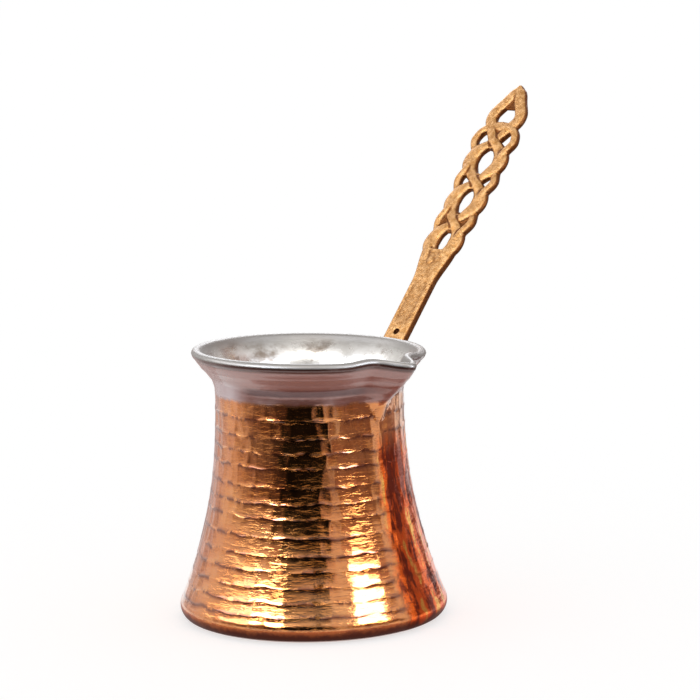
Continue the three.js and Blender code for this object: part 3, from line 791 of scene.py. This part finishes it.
def speckleGroup():
    # soft cloudy value and fine grain on the piece's own coordinates
    group = bpy.data.node_groups.new("speckle", "ShaderNodeTree")
    for label, value in (("Cloud Scale", 60.0), ("Grain Scale", 900.0), ("Stretch", 1.0)):
        group.interface.new_socket(label, in_out="INPUT", socket_type="NodeSocketFloat").default_value = value
    for label in ("Cloud", "Grain"):
        group.interface.new_socket(label, in_out="OUTPUT", socket_type="NodeSocketFloat")
    inside, outside = group.nodes.new("NodeGroupInput"), group.nodes.new("NodeGroupOutput")
    where = addNode(group, "ShaderNodeTexCoord").outputs["Object"]
    stretch = addNode(group, "ShaderNodeCombineXYZ", None, {0: 1.0, 1: 1.0, 2: inside.outputs["Stretch"]})
    scaled = addNode(group, "ShaderNodeVectorMath", {"operation": "MULTIPLY"},
                     {0: where, 1: stretch.outputs[0]})
    for label, detail, roughness in (("Cloud", 4.0, 0.6), ("Grain", 3.0, 0.65)):
        noise = addNode(group, "ShaderNodeTexNoise", None, {
            "Vector": scaled.outputs[0], "Scale": inside.outputs[label + " Scale"], "Detail": detail,
            "Roughness": roughness})
        group.links.new(noise.outputs["Fac"], outside.inputs[label])
    return group


speckle = speckleGroup()


def newMaterial(name):
    material = bpy.data.materials.new(name)
    material.use_nodes = True
    tree = material.node_tree
    return material, tree, tree.nodes["Principled BSDF"]


def speckled(tree, cloudScale, grainScale, stretch=1.0):
    item = addNode(tree, "ShaderNodeGroup", {"node_tree": speckle}, {
        "Cloud Scale": cloudScale, "Grain Scale": grainScale, "Stretch": stretch})
    return item.outputs["Cloud"], item.outputs["Grain"]


def attribute(tree, label):
    return addNode(tree, "ShaderNodeAttribute", {"attribute_name": label}).outputs["Fac"]


def colour(red, green, blue):
    return (red, green, blue, 1.0)


# in the looks, clouds have a scale, a scale of their grain and a squeeze upwards; a range has the two values
# that it runs softly between and, where they aren't 0 and 1, the results there; a rise is a range of heights
# above the foot of the neck or the top of the lip
copperLook = {
    "hammered": colour(0.66, 0.225, 0.052),
    "warm": colour(0.73, 0.295, 0.085), "clouds": (45.0, 1400.0, 2.2), "warmRange": (0.42, 0.68),
    "deep": colour(0.50, 0.13, 0.03), "fineClouds": (170.0, 2600.0, 1.0), "deepRange": (0.55, 0.75, 0.0, 0.6),
    # a painted red reflection on one side: place round the pot in turns, height where it ends, streaks of
    # three colours
    "red": colour(0.98, 0.15, 0.015), "redReflectionDark": colour(0.22, 0.014, 0.006), "redReflectionGold": colour(0.98, 0.50, 0.10),
    "redReflectionTurn": (0.758, 0.778, 0.90, 0.93), "redReflectionWander": 0.05, "redReflectionTop": (68.0, 56.0), "redReflectionStrength": 0.9,
    "redReflectionStreaks": (210.0, 900.0, 0.18), "redReflectionRange": (0.41, 0.50), "redReflectionGoldRange": (0.54, 0.62),
    # painted shade: dark specks along the crease lines between the rows of blows
    "creaseShade": colour(0.17, 0.035, 0.008), "creaseShadeRange": (0.46, 0.53), "creaseShadeStrength": 0.9,
    "creaseShadeUnderRedReflection": 0.3,
    # the neck, with a painted pale highlight on one side and a painted dark reflection line on parts of it
    "neck": colour(0.33, 0.12, 0.09), "neckRise": (-0.6, 1.2), "neckRaggedness": 2.4,
    "neckMetal": 0.4, "neckRoughness": 0.25,
    "pale": colour(0.54, 0.33, 0.30), "paleRange": (0.4, 0.72), "paleRise": (4.0, 5.5), "paleTop": 0.55,
    "paintedHighlight": colour(0.80, 0.68, 0.70), "paintedHighlightTurn": (0.25, 0.33, 0.46, 0.52), "paintedHighlightRise": (6.0, 3.0),
    "paintedHighlightStrength": 0.9,
    # the line is painted dark reflection: a band on the side facing the camera's place, and cloudy patches
    # elsewhere
    "line": colour(0.09, 0.018, 0.02), "lineTurn": (0.49, 0.53, 0.70, 0.75), "lineRange": (0.55, 0.62),
    "lineRise": (1.3, 2.3, 3.4, 4.8), "lineStrength": 0.8,
    "rim": colour(0.11, 0.04, 0.03), "rimRise": (-3.6, -2.6),
    # painted shade: the heel darker towards the floor, with a ragged edge
    "heel": colour(0.17, 0.03, 0.01), "heelShadeRange": (8.0, 5.6, 0.0, 0.9), "heelShadeRaggedness": 7.0,
    "base": colour(0.36, 0.20, 0.15), "baseRange": (1.8, 0.5),
    "roughness": (0.3, 0.75, 0.06, 0.14),
    "lacquer": 0.9, "lacquerIndex": 1.6, "lacquerRoughness": 0.07, "bareUnderRedReflection": 0.85,
    "dents": (200.0, 2600.0, 4.5), "dentRange": (0.42, 0.72), "grainRelief": 0.25, "cloudRelief": 0.5,
    "bump": (0.24, 0.0002),
}


def copperMaterial():
    # copper in two tones with deeper clouds, a painted red reflection on one side, painted shade in specks
    # along the hammered lines, a dull pink neck with its painted highlight and painted dark reflection line,
    # dark rim, painted shade on the heel, and lacquer over all but the painted red reflection
    look = copperLook
    material, tree, shader = newMaterial("hammeredCopper")
    height, turn = attribute(tree, "profileHeight"), attribute(tree, "turn")
    cloud, grain = speckled(tree, *look["clouds"])
    fineCloud, _ = speckled(tree, *look["fineClouds"])
    tint = blendColours(tree, between(tree, cloud, *look["warmRange"]), look["hammered"], look["warm"])
    tint = blendColours(tree, between(tree, fineCloud, *look["deepRange"]), tint, look["deep"])
    # painted red reflection: a wandering band on one side below a height, in dark red, red and gold streaks
    wandering = plus(tree, turn, times(tree, cloud, look["redReflectionWander"]))
    redReflectionMask = times(tree, band(tree, wandering, *look["redReflectionTurn"]), between(tree, height, *look["redReflectionTop"]))
    redReflectionStreaks, _ = speckled(tree, *look["redReflectionStreaks"])
    redReflection = blendColours(tree, between(tree, redReflectionStreaks, *look["redReflectionRange"]), look["redReflectionDark"], look["red"])
    redReflection = blendColours(tree, between(tree, redReflectionStreaks, *look["redReflectionGoldRange"]), redReflection, look["redReflectionGold"])
    tint = blendColours(tree, times(tree, redReflectionMask, look["redReflectionStrength"]), tint, redReflection)
    # painted shade in specks along the creases between rows, weaker under the painted red reflection
    creaseShadeMask = times(tree, attribute(tree, "rowLine"), between(tree, fineCloud, *look["creaseShadeRange"]))
    creaseShadeMask = times(tree, creaseShadeMask, between(tree, redReflectionMask, 1.0, 0.0, look["creaseShadeUnderRedReflection"], 1.0))
    tint = blendColours(tree, times(tree, creaseShadeMask, look["creaseShadeStrength"]), tint, look["creaseShade"])

    neckFoot = s["neckHeight"]
    ragged = plus(tree, height, times(tree, fineCloud, look["neckRaggedness"]))
    onNeck = between(tree, ragged, *above(neckFoot, look["neckRise"]))
    paler = larger(tree, between(tree, cloud, *look["paleRange"]),
                   between(tree, height, *above(neckFoot, look["paleRise"]), 0.0, look["paleTop"]))
    neck = blendColours(tree, paler, look["neck"], look["pale"])
    # painted pale highlight low on the neck, on one side round the pot
    paintedHighlight = times(tree, band(tree, turn, *look["paintedHighlightTurn"]),
                  between(tree, height, *above(neckFoot, look["paintedHighlightRise"])))
    neck = blendColours(tree, times(tree, paintedHighlight, look["paintedHighlightStrength"]), neck, look["paintedHighlight"])
    # painted dark reflection line low on the neck
    line = times(tree, band(tree, height, *above(neckFoot, look["lineRise"])), look["lineStrength"])
    line = times(tree, line, larger(tree, band(tree, turn, *look["lineTurn"]),
                                    between(tree, cloud, *look["lineRange"])))
    neck = blendColours(tree, line, neck, look["line"])
    tint = blendColours(tree, onNeck, tint, neck)

    onRim = between(tree, height, *above(s["lipHeight"], look["rimRise"]))
    tint = blendColours(tree, onRim, tint, look["rim"])
    # painted shade darkening the heel towards the floor
    heelShadeEdge = plus(tree, height, times(tree, fineCloud, look["heelShadeRaggedness"]))
    tint = blendColours(tree, between(tree, heelShadeEdge, *look["heelShadeRange"]), tint, look["heel"])
    tint = blendColours(tree, between(tree, height, *look["baseRange"]), tint, look["base"])

    # no lacquer under the painted red reflection
    bare = times(tree, redReflectionMask, look["bareUnderRedReflection"])
    dents, _ = speckled(tree, *look["dents"])
    relief = plus(tree, times(tree, grain, look["grainRelief"]), between(tree, dents, *look["dentRange"]))
    relief = plus(tree, relief, times(tree, fineCloud, look["cloudRelief"]))
    setInputs(tree, shader, {
        "Base Color": tint,
        "Roughness": larger(tree, between(tree, cloud, *look["roughness"]),
                            times(tree, onNeck, look["neckRoughness"])),
        "Metallic": maths(tree, "SUBTRACT", 1.0, times(tree, onNeck, 1 - look["neckMetal"])),
        "Coat Weight": times(tree, maths(tree, "SUBTRACT", 1.0, bare), look["lacquer"]),
        "Coat IOR": look["lacquerIndex"], "Coat Roughness": look["lacquerRoughness"],
        "Normal": bumped(tree, relief, *look["bump"])})
    return material


tinLook = {
    "bright": colour(0.62, 0.59, 0.55), "dull": colour(0.25, 0.20, 0.16), "stain": colour(0.28, 0.23, 0.19),
    "clouds": (72.0, 700.0, 1.6), "dullRange": (0.48, 0.66),
    "patches": (120.0, 420.0, 1.3), "stainRange": (0.6, 0.78, 0.0, 0.7),
    "rim": colour(0.27, 0.25, 0.23), "rimRise": (-6.0, -0.6),
    "roughness": (0.3, 0.72, 0.20, 0.40), "rimRoughness": 0.45, "grainRelief": 0.5, "bump": (0.25, 0.0003),
}


def tinMaterial():
    # bright tin with dull wiped clouds and small stains, greyer and rougher towards the rim
    look = tinLook
    material, tree, shader = newMaterial("wipedTin")
    cloud, grain = speckled(tree, *look["clouds"])
    patch, dots = speckled(tree, *look["patches"])
    tint = blendColours(tree, between(tree, cloud, *look["dullRange"]), look["bright"], look["dull"])
    tint = blendColours(tree, between(tree, dots, *look["stainRange"]), tint, look["stain"])
    onRim = between(tree, attribute(tree, "profileHeight"), *above(s["lipHeight"], look["rimRise"]))
    setInputs(tree, shader, {
        "Base Color": blendColours(tree, onRim, tint, look["rim"]),
        "Roughness": larger(tree, between(tree, patch, *look["roughness"]),
                            times(tree, onRim, look["rimRoughness"])),
        "Metallic": 1.0,
        "Normal": bumped(tree, plus(tree, times(tree, grain, look["grainRelief"]), patch), *look["bump"])})
    return material


brassLook = {
    "face": colour(0.44, 0.208, 0.064), "pale": colour(0.60, 0.345, 0.148),
    # one dark colour for both the pores and the painted shade in the recesses
    "poresAndShade": colour(0.12, 0.032, 0.006),
    "clouds": (700.0, 1700.0), "paleRange": (0.35, 0.68), "poreRange": (0.54, 0.72, 0.0, 0.7),
    # painted shade: dark where the casting is hollow, turned away from the handle's face, or near its middle
    # plane
    "hollowRange": (-0.02, 0.05), "awayRange": (0.88, 0.42), "deepRange": (1.15, 0.75),
    "broadClouds": (60.0, 500.0), "broadRange": (0.2, 0.6, 0.85, 1.0), "paintedShadeStrength": 0.97,
    "roughness": (0.3, 0.7, 0.34, 0.55), "grainRelief": 0.6, "bump": (0.6, 0.0004),
}


def brassMaterial(name, withPaintedShade):
    # cast brass in two tones with dark pores, and for the handle painted shade in its recesses
    look = brassLook
    material, tree, shader = newMaterial(name)
    cloud, grain = speckled(tree, *look["clouds"])
    tint = blendColours(tree, between(tree, cloud, *look["paleRange"]), look["face"], look["pale"])
    if withPaintedShade:
        broad, _ = speckled(tree, *look["broadClouds"])
        # painted shade in hollows, on sunk floors and on walls turned away from the face
        sunk = larger(tree, between(tree, attribute(tree, "hollow"), *look["hollowRange"]),
                      between(tree, attribute(tree, "lift"), *look["deepRange"]))
        sunk = larger(tree, sunk, between(tree, attribute(tree, "facing"), *look["awayRange"]))
        sunk = times(tree, sunk, between(tree, broad, *look["broadRange"]))
        tint = blendColours(tree, times(tree, sunk, look["paintedShadeStrength"]), tint, look["poresAndShade"])
    setInputs(tree, shader, {
        "Base Color": blendColours(tree, between(tree, grain, *look["poreRange"]), tint, look["poresAndShade"]),
        "Roughness": between(tree, cloud, *look["roughness"]), "Metallic": 1.0,
        "Normal": bumped(tree, plus(tree, times(tree, grain, look["grainRelief"]), cloud), *look["bump"])})
    return material


def finishPiece(item, material, node):
    item.data.materials.clear()
    item.data.materials.append(material)
    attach(item, "root")
    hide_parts(node)


finishPiece(makeCopperPot(), copperMaterial(), "pot_body")
print("copper pot made")
finishPiece(makeTinLining(), tinMaterial(), "tin_lining")
print("tin lining made")
finishPiece(makeHandle(), brassMaterial("castBrass", True), "handle")
print("handle made")
plainBrass = brassMaterial("rivetBrass", False)
for node, name in (("rivet_upper_left", "rivetUpperLeft"), ("rivet_upper_right", "rivetUpperRight"),
                   ("rivet_lower", "rivetLower")):
    finishPiece(makeRivet(node, name), plainBrass, node)
print("rivets made")


studio = {
    "floorSize": 6.0, "floorColour": colour(0.6, 0.6, 0.6),
    "floorGlow": 0.63,                   # what makes the floor white where it is seen
    "fill": 0.62,                        # the world's strength as a light
    "cameraPlace": (-0.7946, -0.7671, 0.2693), "cameraHeading": radians(46.72),
    "cameraPitch": radians(-9.27), "cameraRoll": radians(-1.108), "cameraLens": 173.82,
    "cameraAround": -136,                # where the camera stands round the object, in degrees from +X
    # soft boxes: start and end round the object from the camera, lowest and highest elevation, distance,
    # radiance, and how cool the light is
    "softboxes": {
        "leftSoftbox": (-60, -32, 24, 37, 0.8, 17.0, 1), "rightSoftbox": (40, 66, 15, 35, 0.8, 11.0, 1),
        "sideSoftbox": (-112, -62, 16, 42, 0.8, 3.0, 0.4), "topSoftbox": (-26, 24, 45, 64, 0.8, 2.6, 0),
        "backSoftbox": (150, 200, 20, 45, 1.0, 4.0, 0.5)},
    "aimHeight": 0.05,
    "coolness": (-0.12, 0.0, 0.2),       # what a cool soft box adds to red, green and blue, as shares
    # a low card round the object, seen only in reflections: angle from the camera, top, tone, warmth
    "surroundDistance": 0.30, "surroundNear": 0.13, "surroundStreaks": 0.6,
    "surround": [(-170, 0.0, 1, 0), (-168, 0.10, 0.55, 0.3), (-152, 0.10, 0.55, 0.3), (-150, 0.03, 0.7, 0.2),
                 (-118, 0.03, 0.7, 0.2), (-114, 0.03, 0.95, 0.1), (-100, 0.035, 0.85, 0.1),
                 (-84, 0.045, 0.5, 0.2), (-68, 0.055, 0.26, 0.3), (-48, 0.065, 0.13, 0.4),
                 (-34, 0.09, 0.05, 0.4), (-27, 0.105, 0.01, 0), (13, 0.105, 0.01, 0), (14, 0.08, 0.22, 0.3),
                 (21, 0.08, 0.4, 0.2), (26, 0.06, 0.6, 0), (27, 0.07, 0.3, 0.4), (72, 0.07, 0.24, 0.4),
                 (78, 0.03, 0.6, 0), (84, 0.0, 1, 0), (88, 0.0, 1, 0), (89, 0.22, 0.33, 0.4),
                 (118, 0.22, 0.35, 0.4), (119, 0.0, 1, 0), (128, 0.0, 1, 0), (129, 0.2, 0.2, 0.4),
                 (138, 0.2, 0.25, 0.4), (139, 0.0, 1, 0), (150, 0.0, 1, 0), (151, 0.2, 0.3, 0.4),
                 (160, 0.2, 0.35, 0.4), (161, 0.0, 1, 0), (176, 0.0, 1, 0), (177, 0.10, 0.45, 0.4),
                 (186, 0.10, 0.45, 0.4), (187, 0.0, 1, 0)],
    "slit": [(1, 0.5, 0.03, 0), (6, 0.5, 0.03, 0)], "slitBottom": 0.1,
    "paintedContactShadow": (0.0425, 0.058, 0.003, 0.16),    # painted contact shadow: a dark ring under the pot's edge, seen only in reflections: radii, height, tone
    "warmTone": colour(1, 0.30, 0.20),   # a card's colour at warmth 1
    "cardStep": 0.5,                     # degrees between a card's columns
    "cardLift": 0.0005, "lowestCard": 0.002,    # how far cards clear the floor, and the least top they have
    "streakRates": (31, 53, 74, 97, 139), "seed": 3,
}


def whiteForView(tree):
    # 1 for the rays that see the background: camera, mirror and glass rays
    path = addNode(tree, "ShaderNodeLightPath")
    seen = larger(tree, path.outputs["Is Camera Ray"], path.outputs["Is Glossy Ray"])
    return larger(tree, seen, path.outputs["Is Transmission Ray"])


def makeWorld():
    # white where it is seen, dimmer as a light
    world = bpy.data.worlds.new("studio")
    bpy.context.scene.world = world
    world.use_nodes = True
    tree = world.node_tree
    level = between(tree, whiteForView(tree), 0.0, 1.0, studio["fill"], 1.0)
    setInputs(tree, tree.nodes["Background"], {"Color": colour(1, 1, 1), "Strength": level})


def makeFloor():
    # one square at height 0, pale as a light and white where it is seen
    half = studio["floorSize"] / 2 / millimetre
    floor = makeMesh("floor", [[-half, -half, 0], [half, -half, 0], [half, half, 0], [-half, half, 0]],
                     [np.array([[0, 1, 2, 3]])], smooth=False)
    material, tree, shader = newMaterial("paleFloor")
    setInputs(tree, shader, {
        "Base Color": studio["floorColour"], "Roughness": 1.0, "Specular IOR Level": 0.0,
        "Emission Color": colour(1, 1, 1),
        "Emission Strength": times(tree, whiteForView(tree), studio["floorGlow"])})
    floor.data.materials.append(material)


def fromObject(around, up):
    # unit vector from the object: around is measured from the camera, positive to its right
    heading = radians(studio["cameraAround"]) + radians(around)
    return Vector((cos(heading) * cos(radians(up)), sin(heading) * cos(radians(up)), sin(radians(up))))


def makeSoftbox(name, start, end, low, high, distance, radiance, cool):
    # a rectangular lamp that fills the given span round the object, aimed at the pot: each side is twice the
    # distance times the tangent of half its angle
    aim = Vector((0, 0, studio["aimHeight"]))
    width = 2 * distance * tan(radians(end - start) / 2)
    height = 2 * distance * tan(radians(high - low) / 2)
    light = bpy.data.lights.new(name, "AREA")
    light.shape = "RECTANGLE"
    light.size, light.size_y = width, height
    light.energy = radiance * pi * width * height
    light.color = [1 + cool * share for share in studio["coolness"]]
    item = addObject(name, light)
    place = aim + fromObject((start + end) / 2, (low + high) / 2) * distance
    item.location = place
    item.rotation_euler = (aim - place).to_track_quat("-Z", "Y").to_euler()
    item.visible_camera = item.visible_diffuse = False


def makeCard(name, stations, corners, streaks=0.0):
    # a card round the object, seen only in reflections: its top, tone and warmth run straight between the
    # stations, and a sum of cosines streaks its tone; corners are its distances, its heights as shares of the
    # top, and how much paler it is there
    stations = np.array(stations, float)
    columns = int((stations[-1, 0] - stations[0, 0]) / studio["cardStep"]) + 1
    around = np.linspace(stations[0, 0], stations[-1, 0], columns)
    top, tone, warmth = [np.interp(around, stations[:, 0], stations[:, i]) for i in (1, 2, 3)]
    draw = np.random.default_rng(studio["seed"])
    ripples = [np.cos(np.radians(around) * rate + draw.uniform(0, 2 * pi)) for rate in studio["streakRates"]]
    tone = np.clip(tone * np.exp(streaks * (sum(ripples) / 3)), 0, 1)
    reach, share, paler = np.array(corners).T[:, :, None]
    grid = roundAxis(reach / millimetre, np.radians(around + studio["cameraAround"]),
                     (share * top + studio["cardLift"]) / millimetre)
    rows = len(corners)
    standing = np.flatnonzero(np.minimum(top[1:], top[:-1]) > studio["lowestCard"])
    i, j = np.meshgrid(np.arange(rows - 1), standing, indexing="ij")
    first = (i * columns + j).ravel()
    faces = np.stack([first, first + 1, first + 1 + columns, first + columns], -1)
    card = makeMesh(name, grid, [faces], {
        "tone": np.clip(tone + paler, 0, 1), "warmth": np.tile(warmth, rows)}, False)
    material, tree, shader = newMaterial(name)
    warm = blendColours(tree, attribute(tree, "warmth"), colour(1, 1, 1), studio["warmTone"])
    setInputs(tree, shader, {
        "Base Color": colour(0, 0, 0), "Specular IOR Level": 0.0, "Roughness": 1.0,
        "Emission Color": warm, "Emission Strength": attribute(tree, "tone")})
    card.data.materials.append(material)
    card.visible_camera = card.visible_diffuse = card.visible_shadow = False
    card.visible_transmission = False


def makeCamera():
    lens = bpy.data.cameras.new("camera")
    lens.lens = studio["cameraLens"]
    lens.sensor_width = 36.0
    lens.clip_start, lens.clip_end = 0.01, 50.0
    item = addObject("camera", lens)
    item.matrix_world = (Matrix.Translation(studio["cameraPlace"])
                         @ Matrix.Rotation(-studio["cameraHeading"], 4, "Z")
                         @ Matrix.Rotation(pi / 2 + studio["cameraPitch"], 4, "X")
                         @ Matrix.Rotation(studio["cameraRoll"], 4, "Z"))
    bpy.context.scene.camera = item


makeWorld()
makeFloor()
for name, values in studio["softboxes"].items():
    makeSoftbox(name, *values)
far, near = studio["surroundDistance"], studio["surroundNear"]
makeCard("surround", studio["surround"], [(near, 0, 0), (far, 0, 0), (far, 1, 0), (far, 1.5, 0.7)],
         studio["surroundStreaks"])
bottom = studio["slitBottom"] / studio["slit"][0][1]
makeCard("slit", studio["slit"], [(far + 0.01, bottom, 0), (far + 0.01, 1, 0)])
# painted contact shadow on the floor round the base, seen only in reflections
inner, outer, top, tone = studio["paintedContactShadow"]
makeCard("paintedContactShadow", [(-180, top, tone, 0.5), (180, top, tone, 0.5)], [(inner, 0, 0), (outer, 0, 0.6)])
makeCamera()
bpy.context.scene.view_settings.view_transform = "Standard"
print("studio made")
